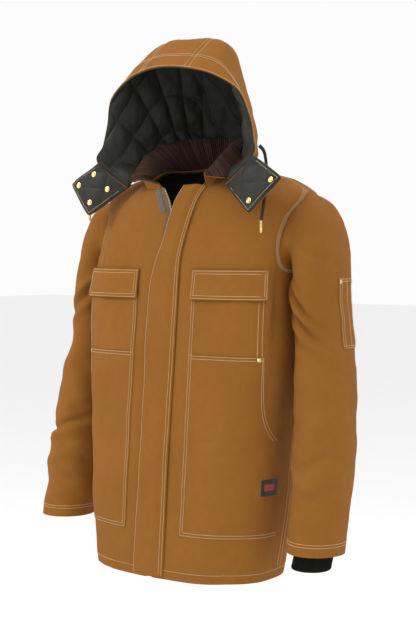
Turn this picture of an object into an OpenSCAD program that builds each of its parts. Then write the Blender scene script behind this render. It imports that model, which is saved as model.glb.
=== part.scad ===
// Hooded insulated work parka: duck shell, quilted lining, corduroy collar, storm flap over a zip,
// patch pockets, knit storm cuffs and a snap-on hood. Millimetres, +Z up, front towards -Y,
// wearer's left towards +X. Heights are measured up from the hem and moved to the hanger loop at the end.

/* [Shell] */
// Half the width of the hem
hem_half_width = 215; // [210:1:224]
// Half the width of the chest
chest_half_width = 249; // [244:1:250]
// How far the front line stands ahead of the hem's middle
hem_front = 138; // [130:1:142]
// Thickness of the duck cloth with its seam plies
cloth_t = 2; // [1.5:0.1:2.2]
// Thickness of the quilted lining
quilt_t = 6.6; // [4:0.2:7]

/* [Front] */
// Half the width of the storm flap
flap_half_width = 37; // [34:1:40]
// Height of the storm flap's underside above the shell
flap_lift = 7.4; // [7.2:0.2:9]
// Height up the front where the zip slider rests
slider_rest = 735; // [700:1:740]
// How far each front edge turns away from the centre at the neck
neck_spread = 40; // [30:1:42]

/* [Pockets] */
// Inner edge of the pockets, from the centre line
pocket_inner = 75; // [70:1:80]
// Outer edge of the chest pockets, from the centre line
pocket_outer = 235; // [225:1:236]
// Height of the top of the chest flaps
chest_flap_top = 654; // [640:1:656]
// Height of the bottom of the chest flaps
chest_flap_bottom = 591; // [585:1:600]
// Height of the seam between the chest and hand pockets
pocket_seam = 476; // [470:1:480]
// Height of the bottom of the hand pockets
hand_pocket_bottom = 95; // [80:1:110]
// Height where the curved hand opening meets the side seam
hand_opening_bottom = 298; // [290:1:305]

/* [Trim] */
// Radius of the brass pocket rivets
rivet_r = 4.5; // [3.5:0.1:5]
// Radius of the brass snap caps
snap_r = 6.5; // [5:0.1:7.5]
// Width of the flat lace in the hood
lace_w = 8; // [6:0.5:9]
// Thickness of the thinner quilting in the sleeves and hood
sleeve_quilt_t = 5.6; // [4:0.2:6]
// Radius of the rib-knit cuff
knit_r = 42; // [38:1:43]

/* [Hidden] */
$fn = 32;

duck = "#a0672f";
quilt = "#32322e";
corduroy = "#4a2c24";
brass = "#c8a24a";
tape_brown = "#5d5347";
knit = "#25241f";

// The hanger loop inside the back neck is the origin
loop_y = 125;
loop_z = 868;
front_lean = 0.092;
lean_deg = atan(front_lean);
along = 1 / cos(lean_deg);

ply = 0.4;          // air between two sewn plies
pocket_ply = 0.9;   // air under a patch pocket, which bows over the body
hair = 0.3;         // air between two bodies

// The body's loops: height at the front, half width, back y, middle y, squareness, side height, back height
TORSO = [
    [0, hem_half_width, 160, 14, 2.7, 0, 0],
    [200, (hem_half_width + chest_half_width) / 2, 174, 28, 3.3, 200, 200],
    [400, chest_half_width - 3, 186, 42, 4.0, 400, 400],
    [560, chest_half_width, 194, 52, 4.4, 560, 560],
    [650, chest_half_width, 198, 60, 4.2, 650, 650],
    [710, chest_half_width + 1, 200, 70, 3.4, 712, 715],
    [755, chest_half_width + 7, 196, 85, 2.7, 770, 774],
    [785, chest_half_width + 13, 186, 95, 2.3, 814, 822],
    [805, 207, 172, 95, 2.1, 847, 856],
    [820, 139, 157, 80, 2.0, 864, 872],
    [830, 90, 142, 62, 2.0, 872, 882]];
neck = 830;
armpit = 655;
shoulder = 788;

// The left sleeve's rings: step, centre x, y, z, half width across as x and z, half depth
SLEEVE = [
    [0, 260, 78, 738, 6, 76, 76],
    [1, 277, 77, 730, 27, 69, 79],
    [2, 290, 74, 708, 38, 54, 79],
    [3, 299, 70, 678, 47, 29, 80],
    [4, 304, 66, 640, 51, 0, 80],
    [5, 306, 62, 577, 53, 0, 79],
    [6, 312, 60, 498, 56, 0, 76],
    [7, 326, 46, 410, 59, 0, 74],
    [8, 336, 32, 331, 60, 0, 72],
    [9, 342, 14, 239, 60, 0, 70],
    [10, 345, 2, 172, 59, 0, 66],
    [11, 346, -18, 80, 58, 0, 62]];
sleeve_end = 11;

// The collar's free edge: angle round the neck, x, y, height
COLLAR_HALF = [[30, 100, -60, 893], [60, 110, -22, 915], [90, 106, 30, 930], [135, 80, 112, 940]];
COLLAR = concat(COLLAR_HALF, [[180, 0, 147, 944]],
    [for (i = [3 : -1 : 0]) let(c = COLLAR_HALF[i]) [360 - c[0], -c[1], c[2], c[3]]]);

// The hood's arches from the rim to the back neck, each from the crown's middle down its left side
HOOD = [
    [[0, -94, 1085], [62, -88, 1079], [122, -73, 1062], [176, -57, 1028],
        [197, -45, 975], [208, -46, 930], [215, -58, 890], [137, -49, 832]],
    [[0, -45, 1128], [62, -42, 1124], [113, -38, 1104], [148, -34, 1057],
        [167, -26, 1000], [174, -20, 940], [166, -12, 885], [128, -8, 862]],
    [[0, 8, 1154], [60, 8, 1151], [105, 8, 1127], [132, 11, 1077],
        [143, 19, 1013], [150, 29, 950], [146, 34, 900], [126, 40, 878]],
    [[0, 68, 1136], [54, 67, 1131], [89, 62, 1105], [112, 58, 1057],
        [123, 60, 999], [130, 69, 945], [130, 74, 906], [116, 84, 888]],
    [[0, 122, 1072], [44, 118, 1066], [75, 108, 1042], [95, 99, 1002],
        [107, 99, 962], [112, 102, 928], [110, 106, 908], [102, 116, 894]],
    [[0, 157, 978], [41, 155, 975], [67, 149, 965], [84, 142, 948],
        [92, 132, 932], [94, 130, 916], [92, 134, 904], [84, 138, 895]],
    [[0, 168, 896], [42, 166, 895], [47, 165, 895], [52, 164, 895],
        [56, 163, 894], [60, 162, 894], [64, 161, 894], [68, 158, 893]]];
hood_rows = [for (u = [0 : 0.5 : 6]) u];

// A neck tab's corners: inner end and outer end of its fold line, outer corner, lower tip
TAB = [[137, -49, 832], [215, -58, 890], [290, -66, 845], [220, -86, 770]];
tab_gap = 2;

// The laces hang from their eyelets behind the neck tabs
LACE_LEFT = [[214, -36, 912], [224, -34, 900], [232, -38, 880], [238, -44, 850], [238, -52, 800], [233, -56, 757]];
LACE_RIGHT = [[214, -36, 912], [224, -34, 900], [232, -38, 882], [239, -44, 860], [242, -50, 825], [241, -56, 787]];
aglet_len = 25;

function lerp(a, b, t) = a + (b - a) * t;
function unit(v) = v / norm(v);
function spow(v, p) = sign(v) * pow(abs(v), p);

// Smooth value of column c at knot x of a table whose first column is the knot
function row_of(t, x, i = 0) = i >= len(t) - 2 || x < t[i + 1][0] ? i : row_of(t, x, i + 1);
function slope(t, c, i) =
    let(a = max(0, i - 1), b = min(len(t) - 1, i + 1)) (t[b][c] - t[a][c]) / (t[b][0] - t[a][0]);
function curve(t, c, x) =
    let(i = row_of(t, x), k = t[i + 1][0] - t[i][0], f = (x - t[i][0]) / k)
    (2 * f ^ 3 - 3 * f ^ 2 + 1) * t[i][c] + (f ^ 3 - 2 * f ^ 2 + f) * k * slope(t, c, i)
    + (3 * f ^ 2 - 2 * f ^ 3) * t[i + 1][c] + (f ^ 3 - f ^ 2) * k * slope(t, c, i + 1);

// The body's surface at angle a round it, 0 at the front and 90 at the wearer's left, and front height s
function front_y(s) = front_lean * s - hem_front;
function torso0(a, s) =
    let(e = 2 / curve(TORSO, 4, s), w = curve(TORSO, 1, s), m = curve(TORSO, 3, s), c = cos(a),
        side = curve(TORSO, 5, s))
    [w * spow(sin(a), e),
     c > 0 ? m - (m - front_y(s)) * pow(c, e) : m + (curve(TORSO, 2, s) - m) * pow(-c, e),
     c > 0 ? lerp(side, s, c * c) : lerp(side, curve(TORSO, 6, s), c * c)];
function torso_n(a, s) = unit(cross(torso0(a + 1, s) - torso0(a - 1, s), torso0(a, s + 2) - torso0(a, s - 2)));
function torso(a, s, d = 0) = torso0(a, s) + d * torso_n(a, s);
// The angle where the front surface is x out from the centre line
function ang(x, s) = asin(pow(x / curve(TORSO, 1, s), curve(TORSO, 4, s) / 2));
// How far the front edge has turned away from the centre line
function spread(s) = neck_spread * pow(max(0, (s - slider_rest - 8) / (neck - slider_rest - 8)), 1.4);
// Half the armhole's width, in degrees round the body, for its given widest value
function armhole(s, wide) =
    let(t = (2 * s - armpit - shoulder) / (shoulder - armpit)) abs(t) < 1 ? wide * sqrt(1 - t * t) : 0;

// The left sleeve's surface: angle p round it, 0 outwards, step t down it
function sleeve(p, t, d = 0) =
    let(u = [curve(SLEEVE, 4, t), 0, curve(SLEEVE, 5, t)])
    [curve(SLEEVE, 1, t), curve(SLEEVE, 2, t), curve(SLEEVE, 3, t)]
    + (norm(u) + d) * cos(p) * unit(u) - [0, (curve(SLEEVE, 6, t) + d) * sin(p), 0];

function collar0(a, t) = lerp(torso0(a, neck) + [0, 0, 1.2], [for (c = [1 : 3]) curve(COLLAR, c, a)], t);
function collar(a, t, d) =
    collar0(a, t) + d * unit(cross(collar0(a + 1, t) - collar0(a - 1, t), collar0(a, 1) - collar0(a, 0)));

// The hood's surface at arch u and place v down the side, negative on the wearer's right
function spline(p, t) = (2 * p[1] + (p[2] - p[0]) * t + (2 * p[0] - 5 * p[1] + 4 * p[2] - p[3]) * t ^ 2
    + (3 * p[1] - p[0] - 3 * p[2] + p[3]) * t ^ 3) / 2;
function hood_knot(i, j) =
    let(p = HOOD[min(6, max(0, i))][min(7, abs(j))]) j < 0 ? [-p.x, p.y, p.z] : p;
function hood0(u, v) =
    let(i = min(5, floor(u)), j = max(-7, min(6, floor(v))))
    spline([for (a = [-1 : 2]) spline([for (b = [-1 : 2]) hood_knot(i + a, j + b)], v - j)], u - i);
function hood(u, v, d) = hood0(u, v)
    + d * unit(cross(hood0(u, min(7, v + 0.1)) - hood0(u, max(-7, v - 0.1)),
                     hood0(min(6, u + 0.1), v) - hood0(max(0, u - 0.1), v)));

tab_n = unit(cross(TAB[2] - TAB[0], TAB[1] - TAB[3]));
tab_down = unit(lerp(TAB[3], TAB[2], 0.5) - lerp(TAB[0], TAB[1], 0.5));
function tab(u, v, d) = lerp(lerp(TAB[0], TAB[1], u) + tab_gap * tab_down, lerp(TAB[3], TAB[2], u), v) + d * tab_n;

// A closed slab between an outer and an inner grid of points; ring joins the last column to the first,
// and the first flip columns have their quads cut the other way, to mirror the rest
module slab(outer, inner, ring = false, flip = 0) {
    r = len(outer);
    c = len(outer[0]);
    n = r * c;
    w = ring ? c : c - 1;
    at = function (i, j) i * c + j % c;
    quad = function (p, q, s, t, other = false) other ? [[p, t, q], [q, t, s]] : [[p, s, q], [p, t, s]];
    skins = [for (i = [0 : r - 2], j = [0 : w - 1]) each concat(
        quad(at(i, j), at(i, j + 1), at(i + 1, j + 1), at(i + 1, j), j < flip),
        quad(n + at(i, j), n + at(i + 1, j), n + at(i + 1, j + 1), n + at(i, j + 1), j < flip))];
    ends = [for (j = [0 : w - 1]) each concat(
        quad(at(0, j), n + at(0, j), n + at(0, j + 1), at(0, j + 1)),
        quad(at(r - 1, j), at(r - 1, j + 1), n + at(r - 1, j + 1), n + at(r - 1, j)))];
    sides = ring ? [] : [for (i = [0 : r - 2]) each concat(
        quad(at(i, 0), at(i + 1, 0), n + at(i + 1, 0), n + at(i, 0)),
        quad(at(i, c - 1), n + at(i, c - 1), n + at(i + 1, c - 1), at(i + 1, c - 1)))];
    polyhedron(concat([for (row = outer) each row], [for (row = inner) each row]), concat(skins, ends, sides));
}

// A patch of the body from depth d0 out to d1; each row is a height and its first and last angle
module patch(rows, d0, d1, cols = 8) {
    grid = function (d) [for (r = rows) [for (j = [0 : cols]) torso(lerp(r[1], r[2], j / cols), r[0], d)]];
    slab(grid(d1), grid(d0));
}
function strip(heights, x0, x1) = [for (s = heights) [s, ang(x0 + spread(s), s), ang(x1 + spread(s), s)]];

// Children stand on the body's surface with their Z along its normal
module stand(p, n) {
    translate(p) rotate([0, acos(n.z), atan2(n.y, n.x)]) children();
}
module on_torso(a, s, d) {
    stand(torso(a, s, d), torso_n(a, s)) children();
}
// Children are drawn on the flat front: X across, Y up the front line, Z outwards
module on_front() {
    translate([0, -hem_front, 0]) rotate([90 - lean_deg, 0, 0]) children();
}
module right_side() {
    mirror([1, 0, 0]) children();
}
module dome(r, h) {
    cylinder(r = r, h = h / 2);
    translate([0, 0, h / 2]) cylinder(r1 = r, r2 = 0.6 * r, h = h / 2);
}

body_heights = [0, 100, 200, 300, 400, 480, 560, 620];
yoke_heights = [armpit, 662, 675, 695, 720, 745, 765, 779, shoulder, 798, 808, 819, neck];
all_heights = concat(body_heights, yoke_heights);
edge_x = 9;
front_cols = 18;
back_cols = 14;
function front_rows(heights) = [for (s = heights) [s, ang(edge_x + spread(s), s), 90 - armhole(s, 18)]];
function back_rows(heights) = [for (s = heights) [s, 90 + armhole(s, 28), 270 - armhole(s, 28)]];

module front_panel() {
    color(duck) patch(front_rows(all_heights), -cloth_t, 0, front_cols);
}
module back_panel() {
    color(duck) patch(back_rows(all_heights), -cloth_t, 0, back_cols);
}
module lining(rows, cols) {
    color(quilt) patch(rows, -cloth_t - ply - quilt_t, -cloth_t - ply, cols);
}
lining_heights = concat([12], [for (s = all_heights) if (s > 12) s]);
module lining_front() {
    lining(front_rows(lining_heights), front_cols);
}
module lining_back() {
    lining(back_rows(lining_heights), back_cols);
}

module collar_ply(d0, d1) {
    grid = function (d) [for (t = [0 : 0.25 : 1]) [for (a = [30 : 12.5 : 330]) collar(a, t, d)]];
    slab(grid(d1), grid(d0));
}
module collar_shell() {
    color(duck) collar_ply(0.2, 0.2 + cloth_t);
}
module collar_corduroy() {
    color(corduroy) collar_ply(-2.7, -0.2);
}
// Male halves of the snaps that hold the hood, round the outside of the collar's foot
module neck_snaps() {
    color(brass) for (a = [80, 130, 180, 230, 280]) {
        p = collar(a, 0.22, cloth_t + 0.3);
        stand(p, unit(p - collar(a, 0.22, 0))) dome(snap_r, 2.4);
    }
}
// A bowed strap inside the back neck; a hook passes through from above
module hanger_loop() {
    half = 32;
    bow = 13;
    arc = [for (a = [0 : 10 : 180]) [half * cos(a), -bow * sin(a)]];
    inner = [for (a = [180 : -10 : 0]) [(half - 2) * cos(a), -(bow - 2) * sin(a)]];
    color(quilt) translate([0, 131, loop_z - 4]) linear_extrude(8) polygon(concat(arc, inner));
}

strip_top = neck - 4;
tape_heights = concat([12], [for (s = all_heights) if (s > 12 && s < strip_top) s], [strip_top]);
module zip_tape() {
    color(tape_brown) patch(strip(tape_heights, 4.2, 14), 0.3, 1.3, 2);
}
tooth_pitch = 10;
tooth_in = 0.15;
tooth_out = 3;
module zip_teeth() {
    top = slider_rest * along;
    comb = [for (y = [12 : tooth_pitch : top - tooth_pitch])
        each [[1.6, y], [tooth_in, y + 1], [tooth_in, y + 5], [1.6, y + 6]]];
    color(brass) {
        on_front() translate([0, 0, -0.8]) linear_extrude(3)
            polygon(concat([[tooth_out, 12]], comb, [[1.6, top], [tooth_out, top]]));
        for (s = [slider_rest + 8 : tooth_pitch : neck - 13])
            on_torso(ang(1.6 + spread(s), s), s, -0.8) translate([-2, -1.4, 0]) cube([4, 2.6, 3]);
    }
}
module zip_top_stops() {
    color(brass) for (k = [0, 1]) mirror([k, 0, 0])
        on_torso(ang(1.6 + spread(824), 824), 824, -0.8) translate([-1.8, -1.4, 0]) cube([3.4, 2.6, 3.6]);
}
module zip_box() {
    color(brass) on_front() translate([-4, 3, -0.8]) cube([8, 8.5, 3.4]);
}
// The sewn-down margin of the storm flap, wider and over the open zip where the front turns away
root_x = 28;
module storm_flap_root() {
    grid = function (d) [for (s = concat([6], [for (t = tape_heights) if (t > 12) t]))
        [for (j = [0 : 4]) torso(lerp(ang(root_x + hair, s), ang(flap_half_width + spread(s), s), j / 4), s,
            d + (s > 770 ? 3 : 0))]];
    color(duck) slab(grid(pocket_ply + cloth_t), grid(pocket_ply));
}
patch_heights = [60, 220, 380, 500, 622];
patch_len = 50;
module loop_patches() {
    color(tape_brown) right_side() {
        for (s = patch_heights)
            patch(strip([s, s + patch_len / 2, s + patch_len - 4], 16, 34), 0.4, 2, 2);
        patch(strip([779, shoulder, 798, 808, 819], 16, 34), 0.7, 2.3, 4);
    }
}

module hand_pocket() {
    outer = function (s)
        let(a = ang(pocket_outer, s), t = (375 - s) / (375 - hand_opening_bottom))
        t <= 0 ? a : t >= 1 ? 87 : lerp(a, 87, 1 - sqrt(1 - t * t));
    rows = [for (s = [hand_pocket_bottom, 100, 150, 200, 250, hand_opening_bottom, 300, 306, 318, 340, 375, 400,
        440, pocket_seam - hair]) [s, ang(pocket_inner, s), outer(s)]];
    color(duck) patch(rows, pocket_ply, pocket_ply + cloth_t, 16);
}
module chest_pocket() {
    color(duck) patch(strip([pocket_seam + hair, 480, 520, 560, chest_flap_bottom, 620, 645],
        pocket_inner, pocket_outer), pocket_ply, pocket_ply + cloth_t, 12);
}
on_pocket = pocket_ply + cloth_t + ply;
module chest_flap() {
    color(duck) patch(strip([chest_flap_bottom, 620, 645, chest_flap_top], pocket_inner, pocket_outer),
        on_pocket, on_pocket + cloth_t, 12);
}
module pocket_rivets() {
    color(brass) for (k = [0, 1]) mirror([k, 0, 0])
        on_torso(ang(pocket_outer - 6, pocket_seam - 7), pocket_seam - 7, on_pocket) dome(rivet_r, 2);
}
label_a = 77;
module label_square(half_w, s0, s1, d0, d1) {
    patch([for (s = [s0, s1]) [s, label_a - half_w, label_a + half_w]], d0, d1, 3);
}
module label_patch() {
    color(quilt) label_square(7, 186, 220, on_pocket, on_pocket + 0.8);
}
module label_mark() {
    color("#a03030") label_square(4.4, 197, 210, on_pocket + 1.1, on_pocket + 1.7);
}

// The flap's section: sewn edge at root_x, a slanting fold, then a face raised over the zip to its free edge
flap_top = shoulder * along;
fold_x = 10;
module flap_strip(section) {
    color(duck) on_front() intersection() {
        rotate([-90, 0, 0]) mirror([0, 1, 0]) translate([0, 0, 6]) linear_extrude(flap_top - 6) polygon(section);
        linear_extrude(20) polygon(concat([[root_x + 5, 0], [-flap_half_width, 0]],
            [for (s = [slider_rest : 15 : neck + 10]) [spread(s) - flap_half_width, s * along]],
            [[root_x - 3.7, (neck + 10) * along], [root_x - 3.7, 768 * along],
                [root_x, 748 * along], [root_x + 5, 748 * along]]));
    }
}
module storm_flap() {
    flap_strip([[fold_x - hair, flap_lift], [fold_x - hair, flap_lift + 2.6], [-flap_half_width, flap_lift + 2.6],
        [-flap_half_width, flap_lift]]);
}
module storm_flap_fold() {
    near = root_x - hair;
    flap_strip([[near, 1.7], [near, 3.6], [fold_x, flap_lift + 2.6], [fold_x, flap_lift]]);
}
module hook_patches() {
    color(tape_brown) on_front() for (s = patch_heights)
        translate([-34, s * along, flap_lift - 1.8]) cube([18, patch_len - 4, 1.8]);
}

module zip_slider() {
    wide = 6.5;
    len = 16;
    color(brass) on_front() translate([0, slider_rest * along - len, 0]) {
        // front plate with its tape guides and the bridge for the pull
        translate([-wide, 0, 2.5]) cube([2 * wide, len, 1.6]);
        for (x = [-wide, wide - 1.6]) translate([x, 0, 1.5]) cube([1.6, len, 1.2]);
        translate([-1.5, 3, 4]) cube([3, 1.5, 2.6]);
        translate([-1.5, 11.5, 4]) cube([3, 1.5, 2.6]);
        translate([-1.5, 3, 5.8]) cube([3, 10, 0.8]);
        // back plate
        translate([-wide, 0, -3.2]) cube([2 * wide, len, 1.6]);
        for (x = [-wide, wide - 1.6]) translate([x, 0, -1.7]) cube([1.6, len, 1.4]);
    }
}
module zip_pull() {
    color(brass) on_front() translate([0, slider_rest * along - 10, 4.3]) linear_extrude(1.2) difference() {
        union() {
            translate([-4.5, -28]) square([9, 26]);
            translate([-4.5, -4]) square([9, 9.2]);
        }
        translate([-2.5, -3.5]) square([5, 7.5]);
        translate([0, -22]) circle(2.2);
    }
}

sleeve_steps = [0, 0.5, 1, 1.5, 2, 2.5, 3, 3.5, 4, 5, 6, 7, 8, 9, 10, 10.5, sleeve_end];
module sleeve_tube(d0, d1, steps) {
    grid = function (d) [for (t = steps) [for (p = [0 : 18 : 342]) sleeve(p, t, d)]];
    slab(grid(d1), grid(d0), ring = true);
}
module sleeve_shell() {
    color(duck) sleeve_tube(-cloth_t, 0, sleeve_steps);
}
module sleeve_lining() {
    color(quilt) sleeve_tube(-cloth_t - ply - sleeve_quilt_t, -cloth_t - ply, [for (t = sleeve_steps) min(t, 10.8)]);
}
// The rib-knit storm cuff tapers out of the sleeve's end
KNIT = [[0, 345, -10, 122, 48], [1, 344, -14, 100, knit_r + 2], [2, 340, -18, 72, knit_r], [3, 334, -20, 44, knit_r - 1]];
// The wearer's right cuff is pushed up inside its sleeve
cuff_tuck = 36;
module knit_cuff() {
    grid = function (d) [for (k = KNIT) [for (p = [0 : 18 : 342])
        [k[1] + (k[4] + d) * cos(p), k[2] - (k[4] + d) * sin(p), k[3]]]];
    color(knit) slab(grid(0), grid(-2.6), ring = true);
}
module sleeve_pocket() {
    grid = function (d) [for (t = [4, 4.5, 5, 5.5, 6, 6.08]) [for (p = [-38, -36, -27, -18, -9, 0, 12])
        sleeve(p, t, d)]];
    color(duck) slab(grid(pocket_ply + cloth_t), grid(pocket_ply));
}
module sleeve_rivets() {
    color(brass) for (p = [-34, 8])
        stand(sleeve(p, 4.15, on_pocket + ply), unit(sleeve(p, 4.15, 10) - sleeve(p, 4.15, 0))) dome(rivet_r, 2);
}

module hood_part(places, d0, d1, flip = 0) {
    grid = function (d) [for (u = hood_rows) [for (v = places) hood(u, v, d)]];
    slab(grid(d1), grid(d0), flip = flip);
}
seam_v = 1;
module hood_centre_panel() {
    color(duck) hood_part([-seam_v, -0.5, 0, 0.5, seam_v], -cloth_t, 0, 2);
}
module hood_side() {
    color(duck) hood_part([for (v = [seam_v + 0.005, 1.5, 2, 2.5, 3, 3.5, 4, 5, 5.5, 6, 6.5, 7]) v], -cloth_t, 0);
}
module hood_lining() {
    places = [0.5, 1, 1.5, 2, 2.5, 3, 3.5, 4, 5, 5.5, 6, 6.5, 7];
    color(quilt) hood_part(concat([for (i = [len(places) - 1 : -1 : 0]) -places[i]], [0], places),
        -cloth_t - 2 * ply - sleeve_quilt_t, -cloth_t - 2 * ply, len(places));
}
eyelet_u = 0.35;
eyelet_v = 5.45;
module hood_eyelets() {
    color(brass) for (k = [0, 1]) mirror([k, 0, 0]) {
        p = hood(eyelet_u, eyelet_v, 0.3);
        stand(p, unit(p - hood(eyelet_u, eyelet_v, -5))) difference() {
            cylinder(r = 6, h = 1.5);
            translate([0, 0, -1]) cylinder(r = 3.2, h = 4);
        }
    }
}
// A flat tube swept along a route
module sweep(route, w, t) {
    sides = 8;
    ways = [for (i = [0 : len(route) - 1])
        unit(route[min(len(route) - 1, i + 1)] - route[max(0, i - 1)])];
    ring = [for (i = [0 : len(route) - 1])
        let(flat = unit(cross(ways[i], [0, 1, 0])), thin = cross(flat, ways[i]))
        [for (k = [0 : sides - 1]) route[i] + w / 2 * cos(45 * k) * flat + t / 2 * sin(45 * k) * thin]];
    n = len(route) * sides;
    walls = [for (i = [0 : len(route) - 2], k = [0 : sides - 1])
        let(a = i * sides + k, b = i * sides + (k + 1) % sides) each [[a, b, b + sides], [a, b + sides, a + sides]]];
    polyhedron([for (r = ring) each r], concat(walls,
        [[for (k = [sides - 1 : -1 : 0]) k], [for (k = [0 : sides - 1]) n - sides + k]]));
}
module lace(route) {
    color("#1c1b18") sweep(route, lace_w, 1.6);
}
module aglet(route) {
    color(brass) translate(route[5] - [0, 0, aglet_len + 0.5]) {
        cylinder(r1 = 2.2, r2 = 3, h = 6);
        translate([0, 0, 6]) cylinder(r = 3, h = aglet_len - 6);
    }
}

module tab_ply(d0, d1) {
    grid = function (d) [for (v = [1 : -0.25 : 0]) [for (u = [0 : 0.25 : 1]) tab(u, v, d)]];
    slab(grid(d1), grid(d0));
}
module hood_tab() {
    color(duck) tab_ply(-6, -4);
}
module tab_lining() {
    color(quilt) tab_ply(-3.7, -0.7);
}
module tab_snap(u, v) {
    n = unit(cross(tab(u, v + 0.02, 0) - tab(u, v, 0), tab(u + 0.02, v, 0) - tab(u, v, 0)));
    color(brass) stand(tab(u, v, -0.3), n) dome(snap_r, 2.4);
}
module tab_snaps_left() {
    tab_snap(0.82, 0.86);
    tab_snap(0.2, 0.8);
}
module tab_snaps_right() {
    right_side() for (p = [[0.25, 0.8], [0.8, 0.8], [0.25, 0.3], [0.8, 0.3]]) tab_snap(p[0], p[1]);
}

translate([0, -loop_y, -loop_z]) {
    back_panel();
    front_panel();  // front_panel_left
    right_side() front_panel();  // front_panel_right
    lining_back();
    lining_front();  // lining_left
    right_side() lining_front();  // lining_right
    collar_shell();
    collar_corduroy();
    hanger_loop();
    neck_snaps();
    zip_tape();  // zip_tape_left
    right_side() zip_tape();  // zip_tape_right
    zip_teeth();  // zip_teeth_left
    right_side() zip_teeth();  // zip_teeth_right
    zip_top_stops();
    zip_box();
    storm_flap_root();
    loop_patches();
    hand_pocket();  // hand_pocket_left
    right_side() hand_pocket();  // hand_pocket_right
    chest_pocket();  // chest_pocket_left
    right_side() chest_pocket();  // chest_pocket_right
    pocket_rivets();
    label_patch();
    label_mark();
    storm_flap();
    storm_flap_fold();
    hook_patches();
    chest_flap();  // chest_flap_left
    right_side() chest_flap();  // chest_flap_right
    zip_slider();
    zip_pull();
    sleeve_shell();  // sleeve_left
    right_side() sleeve_shell();  // sleeve_right
    sleeve_lining();  // sleeve_lining_left
    right_side() sleeve_lining();  // sleeve_lining_right
    knit_cuff();  // knit_cuff_left
    right_side() translate([0, 3, cuff_tuck]) knit_cuff();  // knit_cuff_right
    sleeve_pocket();
    sleeve_rivets();
    hood_centre_panel();
    hood_side();  // hood_side_left
    right_side() hood_side();  // hood_side_right
    hood_lining();
    hood_eyelets();
    lace(LACE_LEFT);  // lace_left
    right_side() lace(LACE_RIGHT);  // lace_right
    aglet(LACE_LEFT);  // aglet_left
    right_side() aglet(LACE_RIGHT);  // aglet_right
    hood_tab();  // hood_tab_left
    right_side() hood_tab();  // hood_tab_right
    tab_lining();  // tab_lining_left
    right_side() tab_lining();  // tab_lining_right
    tab_snaps_left();
    tab_snaps_right();
}
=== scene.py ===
"""Hooded work parka: cloth, quilting, stitching and brass over the CAD frame.

Lengths are millimetres from the hem's middle until place() turns them into metres from the hanger loop."""
import math
import bpy
import numpy as np
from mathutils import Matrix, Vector


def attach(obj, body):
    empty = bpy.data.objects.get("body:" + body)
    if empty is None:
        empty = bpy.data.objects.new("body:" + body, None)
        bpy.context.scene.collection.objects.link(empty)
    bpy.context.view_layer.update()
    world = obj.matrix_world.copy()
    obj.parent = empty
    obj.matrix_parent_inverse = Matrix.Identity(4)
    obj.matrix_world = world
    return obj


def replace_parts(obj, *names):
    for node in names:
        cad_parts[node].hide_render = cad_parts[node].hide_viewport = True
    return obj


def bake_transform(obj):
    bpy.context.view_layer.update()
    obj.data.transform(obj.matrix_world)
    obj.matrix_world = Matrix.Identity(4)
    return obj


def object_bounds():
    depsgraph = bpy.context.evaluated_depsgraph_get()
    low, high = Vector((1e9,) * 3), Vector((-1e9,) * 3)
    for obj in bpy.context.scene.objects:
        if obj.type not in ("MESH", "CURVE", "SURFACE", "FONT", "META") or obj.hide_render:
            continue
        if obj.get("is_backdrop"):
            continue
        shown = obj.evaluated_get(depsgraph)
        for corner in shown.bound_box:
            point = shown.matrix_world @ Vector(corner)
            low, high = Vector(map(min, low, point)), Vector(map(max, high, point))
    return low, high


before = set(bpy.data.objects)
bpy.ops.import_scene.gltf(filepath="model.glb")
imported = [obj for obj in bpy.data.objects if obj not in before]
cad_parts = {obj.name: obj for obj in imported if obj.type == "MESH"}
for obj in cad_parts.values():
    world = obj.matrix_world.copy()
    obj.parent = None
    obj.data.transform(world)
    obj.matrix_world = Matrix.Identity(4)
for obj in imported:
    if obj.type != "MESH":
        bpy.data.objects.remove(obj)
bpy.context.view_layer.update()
ORIGIN = np.array([0.0, 125.0, 868.0])   # the hanger loop, from the hem's middle
MM = 0.001
NECK, ARMPIT, SHOULDER = 830.0, 655.0, 788.0

HEM_FRONT, FRONT_RAKE = 138, 0.092   # the front line's place at the hem, and its lean back with height
CLOTH = 2.0                          # thickness of the duck
SIDES = ((1, "left"), (-1, "right"))
# The body's loops: front height, half width, back y, middle y, squareness, side height, back height
TORSO = np.array([
    [0, 215, 160, 14, 2.7, 0, 0], [200, 232, 174, 28, 3.3, 200, 200],
    [400, 246, 186, 42, 4.0, 400, 400], [560, 249, 194, 52, 4.4, 560, 560],
    [650, 249, 198, 60, 4.2, 650, 650], [710, 250, 200, 70, 3.4, 712, 715],
    [755, 256, 196, 85, 2.7, 770, 774], [785, 262, 186, 95, 2.3, 814, 822],
    [805, 207, 172, 95, 2.1, 847, 856], [820, 139, 157, 80, 2.0, 864, 872],
    [830, 90, 142, 62, 2.0, 872, 882]], float)
# The sleeve's rings: step, centre, half width across as x and z, half depth
SLEEVE = np.array([
    [0, 260, 78, 738, 6, 76, 76], [1, 277, 77, 730, 27, 69, 79], [2, 290, 74, 708, 38, 54, 79],
    [3, 299, 70, 678, 47, 29, 80], [4, 304, 66, 640, 51, 0, 80], [5, 306, 62, 577, 53, 0, 79],
    [6, 312, 60, 498, 56, 0, 76], [7, 326, 46, 410, 59, 0, 74], [8, 336, 32, 331, 60, 0, 72],
    [9, 342, 14, 239, 60, 0, 70], [10, 345, 2, 172, 59, 0, 66], [11, 346, -18, 80, 58, 0, 62]], float)
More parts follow.
